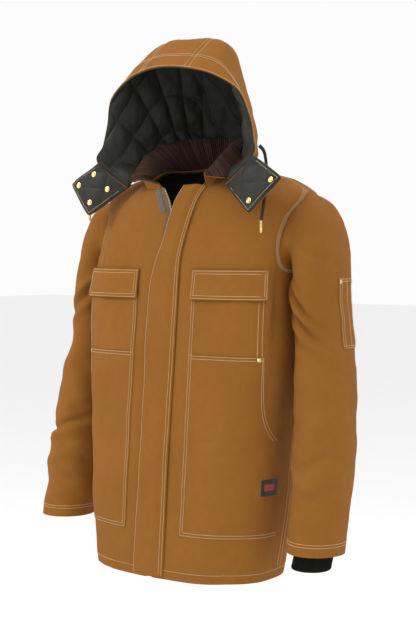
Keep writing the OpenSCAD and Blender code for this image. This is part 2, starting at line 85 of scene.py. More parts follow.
# The hood's arches from the rim to the back neck, each from the crown's middle down one side
HOOD = np.array([
    [[0, -94, 1085], [62, -88, 1079], [122, -73, 1062], [176, -57, 1028],
     [197, -45, 975], [208, -46, 930], [215, -58, 890], [137, -49, 832]],
    [[0, -45, 1128], [62, -42, 1124], [113, -38, 1104], [148, -34, 1057],
     [167, -26, 1000], [174, -20, 940], [166, -12, 885], [128, -8, 862]],
    [[0, 8, 1154], [60, 8, 1151], [105, 8, 1127], [132, 11, 1077],
     [143, 19, 1013], [150, 29, 950], [146, 34, 900], [126, 40, 878]],
    [[0, 68, 1136], [54, 67, 1131], [89, 62, 1105], [112, 58, 1057],
     [123, 60, 999], [130, 69, 945], [130, 74, 906], [116, 84, 888]],
    [[0, 122, 1072], [44, 118, 1066], [75, 108, 1042], [95, 99, 1002],
     [107, 99, 962], [112, 102, 928], [110, 106, 908], [102, 116, 894]],
    [[0, 157, 978], [41, 155, 975], [67, 149, 965], [84, 142, 948],
     [92, 132, 932], [94, 130, 916], [92, 134, 904], [84, 138, 895]],
    [[0, 168, 896], [42, 166, 895], [47, 165, 895], [52, 164, 895],
     [56, 163, 894], [60, 162, 894], [64, 161, 894], [68, 158, 893]]], float)
# The collar round the neck: angle, the crest's x, y, height and the free edge's; it folds down on the left
COLLAR = np.array([
    [32, 84, -54, 856, 98, -66, 852], [42, 86, -40, 866, 116, -63, 850], [58, 88, -20, 882, 134, -44, 849],
    [80, 91, 10, 905, 126, 0, 871], [105, 88, 38, 920, 112, 36, 908], [130, 72, 82, 922, 84, 92, 938],
    [180, 0, 144, 916, 0, 147, 947], [228, -80, 90, 914, -102, 92, 941],
    [262, -112, 36, 894, -136, 24, 912], [288, -104, 0, 880, -127, -15, 885],
    [308, -100, -30, 862, -126, -46, 854], [322, -92, -50, 850, -110, -59, 846],
    [333, -74, -58, 846, -78, -64, 847], [346, -30, -64, 837, -31, -66, 839]], float)
# Where the neck's edge is cut: angle from the front, front height
NECKLINE = np.array([[0, 830], [18, 827], [32, 818.5], [45, 824], [60, 829], [90, 830]], float)
# The storm flap's free and sewn edges: height, then x of each
FLAP_EDGES = np.array([[0, -37, 37], [300, -37, 37], [560, -38, 37], [633, -32, 37], [676, -22, 39],
                       [712, -9, 46], [746, 2, 55], [797, 20, 71], [819, 31, 81]], float)
# The right front's edge and the left front's edge by height
RIGHT_EDGE = np.array([[0, -7.5], [690, -7.5], [712, -7], [740, 4], [771, 10], [800, 0], [830, -17]], float)
LEFT_EDGE = np.array([[0, 7.5], [690, 7.5], [712, 8], [740, 15], [771, 26], [800, 38], [830, 52]], float)
# The zip's two halves by height: closed up to the slider, then parting
ZIP_RIGHT = np.array([[0, 0], [700, 0], [733, 0], [752, 3], [771, 8], [800, 0], [830, -17]], float)
ZIP_LEFT = np.array([[0, 0], [700, 0], [733, 0], [752, 9], [771, 20], [800, 34], [830, 48]], float)
TAB = np.array([[137, -49, 832], [215, -58, 890], [290, -66, 845], [220, -86, 770]], float)
LACES = {"left": [[214, -36, 912], [224, -34, 900], [232, -38, 880],
                  [238, -44, 850], [238, -52, 800], [233, -56, 757]],
         "right": [[214, -36, 912], [224, -34, 900], [232, -38, 882],
                   [239, -44, 860], [242, -50, 825], [241, -56, 787]]}
POCKET_INNER, POCKET_OUTER = 75, 235
POCKET_WIDE = POCKET_OUTER - POCKET_INNER
FLAP_TOP, FLAP_BOTTOM = 654, 591
FLAP_TALL = FLAP_TOP - FLAP_BOTTOM
POCKET_SEAM, POCKET_BOTTOM = 476, 95
OPENING_TOP, OPENING_LOW = 375, 298   # the stretch where the hand opening curves out to the side seam
KICK = 4.0                            # how far the chest flaps' lower edges stand off
FLAP_LIFT, FLAP_THICK = 3.6, 2.6      # a chest flap's underside above the body, and its thickness
GRIP_HEIGHTS = (60, 220, 380, 500, 622)
SEAM_INSETS = (2.5, 8.5)              # of a double row of stitching from its edge
ARMHOLE_FRONT, ARMHOLE_BACK = 18.0, 28.0   # degrees that the armhole reaches round the body each way


# ---------------- geometry
def curve(table, column, x):
    """Smooth value of a column at knot x; the first column holds the knots."""
    knots, values = table[:, 0], table[:, column]
    ends = np.arange(len(knots))
    low, high = np.maximum(ends - 1, 0), np.minimum(ends + 1, len(knots) - 1)
    slopes = (values[high] - values[low]) / (knots[high] - knots[low])
    x = np.asarray(x, float)
    i = np.clip(np.searchsorted(knots, x, side="right") - 1, 0, len(knots) - 2)
    k = knots[i + 1] - knots[i]
    f = (x - knots[i]) / k
    return ((2 * f**3 - 3 * f**2 + 1) * values[i] + (f**3 - 2 * f**2 + f) * k * slopes[i]
            + (3 * f**2 - 2 * f**3) * values[i + 1] + (f**3 - f**2) * k * slopes[i + 1])


def wrap(a):
    """An angle brought to between -180 and 180 degrees."""
    return (np.asarray(a, float) + 180) % 360 - 180


def unit(v):
    return v / np.maximum(np.linalg.norm(v, axis=-1, keepdims=True), 1e-9)


def xyz(x, y, z):
    return np.stack(np.broadcast_arrays(x, y, z), axis=-1)


def smooth(t):
    t = np.clip(t, 0, 1)
    return t * t * (3 - 2 * t)


def bump(x, middle, width):
    return np.exp(-((x - middle) / width) ** 2)


def waves(p, length, seed, stretch=(1, 1, 1)):
    """Gentle cloth-like unevenness of the given wavelength, from -1 to 1."""
    source = np.random.default_rng(seed)
    total = 0
    for _ in range(6):
        way = source.normal(size=3) * np.array(stretch)
        way *= 2 * math.pi / length / np.linalg.norm(way)
        total = total + np.sin(p @ way + source.uniform(0, 2 * math.pi))
    return total / 3


def torso0(a, s):
    e = 2 / curve(TORSO, 4, s)
    width, middle, side = curve(TORSO, 1, s), curve(TORSO, 3, s), curve(TORSO, 5, s)
    sine, cosine = np.sin(np.radians(a)), np.cos(np.radians(a))
    front, back = FRONT_RAKE * s - HEM_FRONT, curve(TORSO, 2, s)
    reach = np.where(cosine > 0, middle - front, back - middle)
    y = middle - np.sign(cosine) * reach * np.abs(cosine) ** e
    end = np.where(cosine > 0, s, curve(TORSO, 6, s))
    return xyz(width * np.sign(sine) * np.abs(sine) ** e, y, side + (end - side) * cosine**2)


def torso_folds(a, s, p):
    """The shell's drape: hem ripples, dents, drag lines below the arms and a full right shoulder."""
    wrapped = wrap(a)
    away = smooth((np.abs(wrapped) - 12) / 40)
    low = smooth((520 - s) / 520)
    ripples = 3.4 * low * np.sin(np.radians(wrapped * 5.0 + 30)) * away
    dents = 3.0 * waves(p, 260, 3, (1, 1, 0.5)) * away + 1.3 * waves(p, 110, 4, (1, 1, 0.6))
    side = np.abs(wrapped)
    fine = (0.5 * waves(p, 38, 5) + 0.22 * waves(p, 17, 6)) * (0.1 + 0.9 * smooth((side - 3) / 8))
    drag = 5.0 * bump(side, 66, 8) * bump(s, 600, 80) - 6.0 * bump(side, 76, 7) * bump(s, 570, 120)
    neckline = smooth((NECK - s) / 60)
    shoulder = 13.0 * bump(wrapped, -88, 34) * bump(s, 798, 20) / np.maximum(neckline, 0.3)
    calm = np.where(s > 640, smooth((860 - s) / 220) * 0.8 + 0.2, 1)
    return (ripples + dents + (drag + shoulder)) * neckline * calm + fine


def to_neck(a, s):
    """Heights drawn down where the neck is cut lower than the top loop."""
    cut = NECK - np.interp(np.abs(wrap(a)), NECKLINE[:, 0], NECKLINE[:, 1])
    return s - cut * smooth((s - 770) / 60)


def torso(a, s, d=0.0, folds=True):
    a, s = np.broadcast_arrays(np.asarray(a, float), np.asarray(s, float))
    p = torso0(a, s)
    n = unit(np.cross(torso0(a + 1, s) - torso0(a - 1, s), torso0(a, s + 2) - torso0(a, s - 2)))
    lift = d + (torso_folds(a, s, p) if folds else 0)
    return p + n * np.asarray(lift)[..., None]


def angle_at(x, s):
    """The angle round the body where its front is x from the centre line."""
    x = np.asarray(x, float)
    share = np.minimum(np.abs(x) / curve(TORSO, 1, s), 1)
    return np.sign(x) * np.degrees(np.arcsin(share ** (curve(TORSO, 4, s) / 2)))


def armhole(p):
    """Angle and height of the armhole's edge at angle p round the sleeve, 0 at the shoulder."""
    reach = np.where(np.sin(np.radians(p)) > 0, ARMHOLE_FRONT, ARMHOLE_BACK)
    s = (ARMPIT + SHOULDER) / 2 + (SHOULDER - ARMPIT) / 2 * np.cos(np.radians(p))
    return 90 - reach * np.sin(np.radians(p)), s


SLEEVE_FOLDS = {  # height, angle, slope in mm a degree, half height, half angle, depth
    1: [(646, 140, 0.9, 8, 38, -10), (626, 125, 1.0, 9, 45, 10), (606, 115, 1.1, 7, 45, -13),
        (584, 115, 1.1, 10, 48, 10), (560, 108, 1.0, 8, 50, -12), (530, 110, 0.8, 12, 55, 6),
        (500, 100, 0.7, 12, 60, -5), (300, 110, -0.7, 20, 70, 5), (262, 80, -0.5, 14, 60, -6),
        (232, 120, 0.5, 16, 60, 5), (200, 60, -0.5, 14, 60, -4), (150, 80, 0.4, 18, 80, 4),
        (690, 60, 0.5, 10, 40, -4), (400, 0, 0.3, 40, 90, 3), (350, -40, 0.5, 30, 60, -3)],
    -1: [(620, 110, 0.9, 13, 55, 7), (590, 100, 0.9, 11, 55, -7), (560, 100, 0.8, 13, 55, 5),
         (430, 60, 0.5, 26, 70, 4), (330, 80, 0.4, 18, 80, 5), (292, 90, 0.35, 9, 90, -10),
         (268, 80, 0.3, 12, 80, 8), (236, 100, -0.4, 12, 70, -7), (205, 60, 0.4, 16, 70, 5),
         (165, 100, 0.2, 14, 80, -4), (130, 100, 0.3, 14, 70, 3)]}


def sleeve_folds(p, q, side):
    height, angle = q[..., 2], wrap(p)
    total = 2.4 * waves(q, 150, 11 + side, (1, 1, 0.7)) + 1.3 * waves(q, 60, 13 + side)
    total = total + 0.3 * waves(q, 22, 15)
    for middle, around, slant, half_h, half_a, depth in SLEEVE_FOLDS[side]:
        along = bump(height, middle + slant * (angle - around), half_h)
        total = total + depth * along * bump(angle, around, half_a)
    return total


def sleeve0(p, t):
    cosine, sine = np.cos(np.radians(p)), np.sin(np.radians(p))
    centre = xyz(*(curve(SLEEVE, c, t) for c in (1, 2, 3)))
    across = xyz(curve(SLEEVE, 4, t), 0, curve(SLEEVE, 5, t))
    return centre + across * cosine[..., None] - xyz(0, 1, 0) * (curve(SLEEVE, 6, t) * sine)[..., None]


def sleeve(p, t, d=0.0, side=1, from_body=True):
    """The left sleeve's surface; its head grows out of the armhole's edge."""
    p, t = np.broadcast_arrays(np.asarray(p, float), np.asarray(t, float))
    q = sleeve0(p, t)
    n = unit(np.cross(sleeve0(p + 2, t) - sleeve0(p - 2, t), sleeve0(p, t + 0.05) - sleeve0(p, t - 0.05)))
    fade = smooth(t / 2) * smooth((11.3 - t) / 0.9)
    q = q + n * (d + sleeve_folds(p, q, side) * fade)[..., None]
    if from_body:
        a, s = armhole(p)
        edge = torso(a, s, d + 0.0 * t)
        q = edge + (q - edge) * smooth(0.25 + 0.75 * t / 1.3)[..., None] * smooth(t / 0.22)[..., None]
    return q


def spline(p0, p1, p2, p3, t):
    t = t[..., None]
    bend, twist = 2 * p0 - 5 * p1 + 4 * p2 - p3, 3 * p1 - p0 - 3 * p2 + p3
    return (2 * p1 + (p2 - p0) * t + bend * t**2 + twist * t**3) / 2


def hood0(u, v):
    u, v = np.broadcast_arrays(np.asarray(u, float), np.asarray(v, float))
    i = np.clip(np.floor(u).astype(int), 0, 5)
    j = np.clip(np.floor(v).astype(int), -7, 6)

    def knot(a, b):
        p = HOOD[np.clip(a, 0, 6), np.minimum(np.abs(b), 7)].copy()
        p[..., 0] *= np.where(b < 0, -1, 1)
        return p
    arches = [spline(*(knot(i + a, j + b) for b in (-1, 0, 1, 2)), v - j) for a in (-1, 0, 1, 2)]
    return spline(*arches, u - i)


def hood(u, v, d=0.0):
    u, v = np.broadcast_arrays(np.asarray(u, float), np.asarray(v, float))
    p = hood0(u, v)
    along = hood0(np.minimum(u + 0.1, 6), v) - hood0(np.maximum(u - 0.1, 0), v)
    n = unit(np.cross(hood0(u, np.minimum(v + 0.1, 7)) - hood0(u, np.maximum(v - 0.1, -7)), along))
    folds = 2.2 * waves(p, 120, 21) + 0.9 * waves(p, 45, 22) + 0.3 * waves(p, 18, 23)
    crown = -3.0 * bump(np.abs(v), 1, 0.12) * smooth(u / 0.5)   # the felled seams pull in
    return p + n * (d + (folds + crown) * smooth(u / 0.4 + 0.3))[..., None]


def collar(a, t, d=0.0):
    """The collar's middle surface: from the neck's edge over its crest to its free edge."""
    def middle(a, t):
        foot = torso(a, to_neck(a, NECK + 0 * a) - 1.5, 0, folds=False)
        crest, edge = (xyz(*(curve(COLLAR, c, a) for c in columns)) for columns in ((1, 2, 3), (4, 5, 6)))
        t = t[..., None]
        return foot * (1 - t) * (1 - 2 * t) + crest * 4 * t * (1 - t) + edge * t * (2 * t - 1)
    a, t = np.broadcast_arrays(np.asarray(a, float), np.asarray(t, float))
    p = middle(a, t)
    across = middle(a + 1, t) - middle(a - 1, t)
    n = unit(np.cross(across, middle(a, t + 0.02) - middle(a, t - 0.02)))
    return p + n * (d + 0.7 * waves(p, 50, 31))[..., None]


TAB_NORMAL = unit(np.cross(TAB[2] - TAB[0], TAB[1] - TAB[3]))


def tab(u, v, d=0.0):
    """A neck tab: u along its fold, v from the fold to the free edge; below 0 it tucks into the hood."""
    u, v = np.broadcast_arrays(np.asarray(u, float), np.asarray(v, float))
    u, v = u[..., None], v[..., None]
    p = (TAB[0] * (1 - u) + TAB[1] * u) * (1 - v) + (TAB[3] * (1 - u) + TAB[2] * u) * v
    curl = 5 * np.sin(np.pi * np.clip(v, 0, 1)) * np.sin(np.pi * u) + 1.2 * waves(p, 60, 41)[..., None]
    return p + TAB_NORMAL * (np.asarray(d, float)[..., None] + curl)


def place(points, side=1):
    """Millimetres from the hem to metres from the hanger loop, mirrored for the wearer's right."""
    return (np.asarray(points, float) * np.array([side, 1, 1]) - ORIGIN) * MM


def lengths(grid, axis):
    """Distance along a grid's axis, averaged over the other, for even texture coordinates."""
    steps = np.linalg.norm(np.diff(grid, axis=axis), axis=-1).mean(axis=1 - axis)
    return np.concatenate([[0], np.cumsum(steps)])


def finish_mesh(obj, material, body, angle=40):
    obj.data.materials.append(material)
    obj.data.shade_smooth()
    obj.data.set_sharp_from_angle(angle=math.radians(angle))
    if body:
        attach(obj, body)
    return obj


def new_object(name, verts, faces):
    mesh = bpy.data.meshes.new(name)
    mesh.from_pydata(np.asarray(verts).tolist(), [], faces)
    mesh.validate()
    obj = bpy.data.objects.new(name, mesh)
    bpy.context.collection.objects.link(obj)
    return obj


def sheet_mesh(name, outer, inner, material, body, side=1, ring=False):
    """A closed ply between two grids of points, with texture coordinates in metres."""
    r, c, _ = outer.shape
    n = r * c
    columns = c if ring else c - 1
    at = lambda i, j: i * c + j % c
    faces = []
    for i in range(r - 1):
        for j in range(columns):
            faces.append((at(i, j), at(i, j + 1), at(i + 1, j + 1), at(i + 1, j)))
            faces.append((n + at(i, j), n + at(i + 1, j), n + at(i + 1, j + 1), n + at(i, j + 1)))
    for j in range(columns):
        faces.append((at(0, j), n + at(0, j), n + at(0, j + 1), at(0, j + 1)))
        faces.append((at(r - 1, j), at(r - 1, j + 1), n + at(r - 1, j + 1), n + at(r - 1, j)))
    if not ring:
        for i in range(r - 1):
            faces.append((at(i, 0), at(i + 1, 0), n + at(i + 1, 0), n + at(i, 0)))
            faces.append((at(i, c - 1), n + at(i, c - 1), n + at(i + 1, c - 1), at(i + 1, c - 1)))
    if side < 0:
        faces = [f[::-1] for f in faces]
    verts = np.concatenate([place(outer, side).reshape(-1, 3), place(inner, side).reshape(-1, 3)])
    obj = new_object(name, verts, faces)
    u = np.broadcast_to(lengths(outer, 1)[None, :], (r, c))
    v = np.broadcast_to(lengths(outer, 0)[:, None], (r, c))
    coords = np.stack([u, v], -1).reshape(-1, 2) * MM
    coords = np.concatenate([coords, coords])
    layer = obj.data.uv_layers.new(name="cloth")
    index = np.empty(len(obj.data.loops), int)
    obj.data.loops.foreach_get("vertex_index", index)
    layer.data.foreach_set("uv", coords[index].ravel())
    return finish_mesh(obj, material, body)


def stitch_row(route, normal, length=3.2, pitch=4.2, r=0.5):
    """Points and faces of one row of thread stitches along a route, lying on its surface."""
    steps = np.linalg.norm(np.diff(route, axis=0), axis=1)
    travel = np.concatenate([[0], np.cumsum(steps)])
    count = max(1, int(travel[-1] / pitch))
    middle = (np.arange(count) + 0.5) * travel[-1] / count
    pick = lambda x, data: np.stack([np.interp(x, travel, data[:, k]) for k in range(3)], -1)
    centre, up = pick(middle, route), unit(pick(middle, normal))
    way = unit(pick(middle + 1, route) - pick(middle - 1, route))
    across = np.cross(way, up)
    ring = [centre - way * length / 2 - up * r * 0.3, centre + way * length / 2 - up * r * 0.3]
    for s in (-0.28, 0.28):
        for x, z in ((1, 0), (0, 1), (-1, 0), (0, -0.6)):
            ring.append(centre + way * length * s + across * r * x + up * r * z)
    verts = np.stack(ring, 1).reshape(-1, 3)
    one = [(0, 3, 2), (0, 4, 3), (0, 5, 4), (0, 2, 5), (1, 6, 7), (1, 7, 8), (1, 8, 9), (1, 9, 6)]
    one += [(2 + k, 2 + (k + 1) % 4, 6 + (k + 1) % 4, 6 + k) for k in range(4)]
    faces = [tuple(i + 10 * k for i in f) for k in range(count) for f in one]
    return verts, faces


def stitches(name, rows, body, side=1):
    """One piece of stitching from several (route, normals) rows."""
    verts, faces, start = [], [], 0
    for route, normal in rows:
        v, f = stitch_row(route, normal)
        verts.append(place(v, side))
        faces += [tuple(i + start for i in face) for face in f]
        start += len(v)
    return finish_mesh(new_object(name, np.concatenate(verts), faces), THREAD, body, 60)


def line_on(surface, first, second, d=0.5, count=120):
    """A route on a surface between values of its two coordinates, with the surface's normals."""
    x = np.linspace(0, 1, count)
    a = first(x) if callable(first) else first + 0 * x
    b = second(x) if callable(second) else second + 0 * x
    low, high = surface(a, b, d), surface(a, b, d + 3)
    return low, unit(high - low)


# ---------------- materials
class Paint:
    """A node material built from short calls."""

    def __init__(self, name):
        self.material = bpy.data.materials.new(name)
        self.material.use_nodes = True
        self.tree = self.material.node_tree
        self.shader = self.tree.nodes["Principled BSDF"]
        self.uv = self.node("ShaderNodeUVMap").outputs["UV"]
        self.space = self.node("ShaderNodeTexCoord").outputs["Object"]

    def node(self, kind, **settings):
        n = self.tree.nodes.new(kind)
        for key, value in settings.items():
            setattr(n, key, value)
        return n

    def link(self, source, target):
        if isinstance(source, (int, float)):
            target.default_value = source
        elif isinstance(source, tuple):
            target.default_value = source if len(source) == 4 else (*source, 1)
        else:
            self.tree.links.new(source, target)

    def feed(self, n, **values):
        for key, value in values.items():
            self.link(value, n.inputs[key.replace("_", " ")])
        return n

    def set(self, **values):
        self.feed(self.shader, **values)

    def noise(self, scale, detail=3.0, where=None, stretch=(1, 1, 1)):
        mapping = self.node("ShaderNodeMapping")
        mapping.inputs["Scale"].default_value = stretch
        self.feed(mapping, Vector=where or self.space)
        n = self.node("ShaderNodeTexNoise")
        return self.feed(n, Scale=scale, Detail=detail, Vector=mapping.outputs[0]).outputs["Fac"]

    def bands(self, scale, axis="X", where=None, distortion=0.0):
        n = self.node("ShaderNodeTexWave", bands_direction=axis)
        self.feed(n, Scale=scale, Distortion=distortion, Detail_Scale=4.0, Vector=where or self.uv)
        return n.outputs["Fac"]

    def math(self, operation, a, b=0.0):
        n = self.node("ShaderNodeMath", operation=operation)
        self.link(a, n.inputs[0])
        self.link(b, n.inputs[1])
        return n.outputs[0]

    def ramp(self, source, low, high):
        n = self.node("ShaderNodeMapRange")
        return self.feed(n, Value=source, From_Min=low, From_Max=high).outputs["Result"]

    def mix(self, factor, a, b):
        n = self.node("ShaderNodeMix", data_type="RGBA")
        return self.feed(n, Factor=factor, A=a, B=b).outputs["Result"]

    def bump(self, height, distance, strength=1.0, under=None):
        n = self.node("ShaderNodeBump")
        self.feed(n, Strength=strength, Distance=distance, Height=height)
        if under is not None:
            self.feed(n, Normal=under)
        return n.outputs["Normal"]


def duck_cloth():
    p = Paint("duck")
    warp, weft = p.bands(310, "X", distortion=0.6), p.bands(230, "Y", distortion=0.6)
    weave = p.math("MULTIPLY", warp, weft)
    slub = p.noise(900, 2, p.uv, (1, 0.08, 1))
    broad = p.ramp(p.noise(5.5, 4), 0.35, 0.7)
    mottled = p.ramp(p.noise(60, 5), 0.3, 0.75)
    base = p.mix(broad, (0.262, 0.101, 0.015), (0.300, 0.120, 0.020))
    base = p.mix(p.math("MULTIPLY", mottled, 0.35), base, (0.225, 0.083, 0.012))
    base = p.mix(p.math("MULTIPLY", slub, 0.2), base, (0.37, 0.165, 0.048))
    p.set(Base_Color=base, Roughness=0.9, Sheen_Weight=0.02, Sheen_Roughness=0.5, Specular_IOR_Level=0.12)
    wrinkle = p.bump(p.noise(28, 5), 0.0022, 0.55)
    p.set(Normal=p.bump(p.math("ADD", weave, slub), 0.00035, 0.7, wrinkle))
    return p.material


def quilt_cloth():
    p = Paint("quilting")
    creases = p.noise(26, 6, p.uv, (1, 2.2, 1))
    fine = p.bands(900, "X")
    # Painted shade: the colour darkens where the crease noise is low, in the creases that the bump sinks.
    p.set(Base_Color=p.mix(creases, (0.019, 0.0195, 0.016), (0.032, 0.033, 0.027)), Roughness=0.45)
    p.set(Specular_IOR_Level=0.13)
    p.set(Normal=p.bump(fine, 0.0001, 0.3, p.bump(creases, 0.003, 0.6)))
    return p.material


def corduroy_cloth():
    p = Paint("corduroy")
    wales_and_trough_shade = p.bands(70, "X", distortion=0.6)
    worn = p.ramp(p.noise(60, 3, p.uv, (3.0, 0.15, 1)), 0.42, 0.68)
    # Painted shade: the wale troughs are near black and the ridges lighter, following the same bands as the
    # bump.
    base = p.mix(wales_and_trough_shade, (0.011, 0.0048, 0.0032), (0.070, 0.030, 0.019))
    p.set(Base_Color=p.mix(p.math("MULTIPLY", worn, 0.6), base, (0.125, 0.058, 0.037)), Roughness=0.95)
    p.set(Sheen_Weight=0.05, Sheen_Roughness=0.4, Specular_IOR_Level=0.12)
    p.set(Normal=p.bump(wales_and_trough_shade, 0.0016, 1.0, p.bump(p.noise(400, 2), 0.0003, 0.5)))
    return p.material


def knit_cloth():
    p = Paint("rib_knit")
    loops = p.bands(420, "Y", distortion=0.5)
    # Painted shade: the colour darkens between the loop bands, where the bump sinks.
    p.set(Base_Color=p.mix(loops, (0.006, 0.006, 0.0052), (0.014, 0.014, 0.012)), Roughness=0.95)
    p.set(Specular_IOR_Level=0.12, Sheen_Weight=0.02)
    p.set(Normal=p.bump(loops, 0.0005, 0.8, p.bump(p.noise(300, 3), 0.0004, 0.5)))
    return p.material


def brass_metal():
    p = Paint("brass")
    tarnish = p.ramp(p.noise(90, 4), 0.4, 0.8)
    p.set(Base_Color=p.mix(tarnish, (0.83, 0.62, 0.26), (0.62, 0.42, 0.15)), Metallic=1.0)
    p.set(Roughness=p.math("ADD", p.math("MULTIPLY", tarnish, 0.16), 0.2))
    p.set(Normal=p.bump(p.noise(700, 2), 0.00008, 0.4))
    return p.material


def plain_weave(name, dark, light, thread=0.0004, roughness=0.85):
    p = Paint(name)
    threads = p.math("MULTIPLY", p.bands(0.3 / thread, "X"), p.bands(0.3 / thread, "Y"))
    colour = p.mix(p.ramp(p.noise(250, 3), 0.3, 0.7), dark, light)
    p.set(Base_Color=colour, Roughness=roughness, Sheen_Weight=0.2)
    p.set(Normal=p.bump(threads, 0.0003, 0.7, p.bump(p.noise(500, 2), 0.0003, 0.6)))
    return p.material


def thread_material():
    p = Paint("thread")
    twist = p.noise(1500, 2)
    p.set(Base_Color=p.mix(twist, (0.66, 0.49, 0.23), (0.90, 0.73, 0.44)), Roughness=0.6, Sheen_Weight=0.1)
    p.set(Normal=p.bump(twist, 0.0001, 0.5))
    return p.material


DUCK, QUILT, CORD, KNIT = duck_cloth(), quilt_cloth(), corduroy_cloth(), knit_cloth()
BRASS, THREAD = brass_metal(), thread_material()
TAPE = plain_weave("zip_tape", (0.09, 0.05, 0.03), (0.14, 0.085, 0.05))
PILE = plain_weave("touch_tape", (0.085, 0.066, 0.05), (0.15, 0.125, 0.095), 0.0008, 0.95)
LACE_CLOTH = plain_weave("lace", (0.010, 0.010, 0.009), (0.022, 0.021, 0.019), 0.0009)
LABEL = plain_weave("label", (0.012, 0.012, 0.012), (0.028, 0.028, 0.028), 0.0006)
MARK = plain_weave("label_mark", (0.33, 0.02, 0.02), (0.5, 0.05, 0.04), 0.0006)


# ---------------- camera and light
def aimed(name, data, location, target):
    obj = bpy.data.objects.new(name, data)
    bpy.context.collection.objects.link(obj)
    obj.location = location
    obj.rotation_euler = (Vector(target) - Vector(location)).to_track_quat("-Z", "Y").to_euler()
    return obj


def look_from(location, target, lens):
    data = bpy.data.cameras.new("camera")
    data.lens = lens
    bpy.context.scene.camera = aimed("camera", data, location, target)


def area_light(name, location, size, power, target=(0, 0, -0.35)):
    data = bpy.data.lights.new(name, "AREA")
    data.size, data.energy = size, power
    aimed(name, data, location, target)


def studio():
    look_from((1.859, -2.479, -0.160), (0.033, -0.099, -0.305), 79.4)
    area_light("key", (-1.9, -2.4, 1.9), 1.3, 47)
    area_light("side", (2.8, -0.6, 1.2), 1.8, 9)
    area_light("top", (0.1, 0.8, 2.6), 1.8, 18)
    world = bpy.data.worlds.new("studio")
    world.use_nodes = True
    background = world.node_tree.nodes["Background"]
    background.inputs["Color"].default_value = (1, 1, 1, 1)
    background.inputs["Strength"].default_value = 0.97
    bpy.context.scene.world = world
    bpy.context.scene.view_settings.view_transform = "Standard"
    low = min(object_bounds()[0][2], -1.0) - 0.30
    corners = [(x, y, low) for x, y in ((-20, -20), (20, -20), (20, 20), (-20, 20))]
    floor = new_object("floor", corners, [(0, 1, 2, 3)])
    p = Paint("floor_paper")
    p.set(Base_Color=p.mix(p.noise(4, 2), (0.88, 0.88, 0.88), (0.9, 0.9, 0.9)), Roughness=0.9)
    floor.data.materials.append(p.material)
    floor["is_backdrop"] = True


studio()


# ---------------- shell
def grid(rows, columns):
    return np.meshgrid(rows, columns, indexing="ij")


def hole(s, wide):
    """Degrees that the armhole cuts out of a panel at a height."""
    t = (2 * s - ARMPIT - SHOULDER) / (SHOULDER - ARMPIT)
    return wide * np.sqrt(np.clip(1 - t * t, 0, 1))


def round_body(heights, edges, columns):
    """A grid of the body between two edges, each an angle by height."""
    s, u = grid(heights, np.linspace(0, 1, columns))
    first, last = (edge(s) for edge in edges)
    return first + (last - first) * u, s


def panels(grow, left_in, right_in):
    """Edges of the back, left front and right front, with armholes grown and fronts set in."""
    back = lambda s: hole(s, ARMHOLE_BACK + grow)
    front = lambda s: hole(s, ARMHOLE_FRONT + grow)
    return {"back": (lambda s: 90 + back(s), lambda s: 270 - back(s)),
            "left": (lambda s: angle_at(curve(LEFT_EDGE, 1, s) + left_in, s), lambda s: 90 - front(s)),
            "right": (lambda s: -90 + front(s), lambda s: angle_at(curve(RIGHT_EDGE, 1, s) - right_in, s))}


def body_shell(name, node, edges, columns):
    a, s = round_body(SHELL_HEIGHTS, edges, columns)
    s = to_neck(a, s)
    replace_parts(sheet_mesh(name, torso(a, s), torso(a, s, -CLOTH), DUCK, "coat"), node)


SHELL_HEIGHTS = np.concatenate([
    np.linspace(0, ARMPIT, 110),
    SHOULDER + (ARMPIT - SHOULDER) * (1 + np.cos(np.linspace(0, np.pi, 40)[1:])) / 2,
    np.linspace(SHOULDER + 2, NECK, 24)])
SHELL = panels(0, 0, 0)
body_shell("back_shell", "back_panel", SHELL["back"], 170)
body_shell("front_shell_left", "front_panel_left", SHELL["left"], 110)
body_shell("front_shell_right", "front_panel_right", SHELL["right"], 110)


def quilting(across, along, puff=3.2, pitch=68.0):
    """Puffs of a diamond quilting pattern from two surface distances."""
    p, q = (across + along) / pitch, (across - along) / pitch
    return puff * (np.abs(np.sin(np.pi * p)) * np.abs(np.sin(np.pi * q))) ** 0.45


for tag, edges in panels(2, 8, 16).items():
    heights = np.concatenate([np.linspace(12, ARMPIT, 90), SHELL_HEIGHTS[SHELL_HEIGHTS > ARMPIT]])
    a, s = round_body(heights, edges, 110)
    puff = quilting(2.6 * a, torso0(a, s)[..., 2]) * smooth((NECK - s) / 30)
    s = to_neck(a, s)
    lining = sheet_mesh(f"quilt_{tag}", torso(a, s, -2.6), torso(a, s, -6.0 - puff), QUILT, "coat")
    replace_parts(lining, f"lining_{tag}")


# ---------------- pockets
def soft_edge(u, v):
    return (1 - np.abs(2 * u - 1) ** 10) * (1 - np.abs(2 * v - 1) ** 10)


def opening_edge(s):
    """Outer edge of the hand pocket, as an angle: straight, then curving out to the side seam."""
    a = angle_at(POCKET_OUTER, s)
    t = np.clip((OPENING_TOP - s) / (OPENING_TOP - OPENING_LOW), 0, 1)
    return a + (88 - a) * (1 - np.sqrt(1 - t * t))


def stand_off(u, v, side):
    """How far a chest flap stands off below its seam, waving a little along its lower edge."""
    return KICK * (1 - v) ** 1.5 * (1 + 0.45 * np.sin(2.6 * np.pi * u + 0.6 * side))


def sewn(u, v, thick):
    """Thickness of a sewn ply, thin at its edges."""
    return thick * (0.35 + 0.65 * soft_edge(u, v) ** 0.5)


def pocket_ply(name, node, body, side, heights, inner, outer, thick, lift, columns=60, bulge=1.5, hang=None):
    s, u = grid(heights, np.linspace(0, 1, columns))
    v = (s - heights[0]) / (heights[-1] - heights[0])
    a = inner(s) + (outer(s) - inner(s)) * u
    base = lift + (hang(u, v, side) if hang else 0)
    d = base + sewn(u, v, thick) + bulge * np.sin(np.pi * u) * np.sin(np.pi * v)
    top, under = torso(a * side, s, d), torso(a * side, s, base - 0.6)
    if side < 0:
        top, under = top[:, ::-1], under[:, ::-1]
    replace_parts(sheet_mesh(name, top, under, DUCK, body), node)


def at_x(x):
    """A line at x from the centre, as an angle by height."""
    return lambda s: angle_at(x, s)


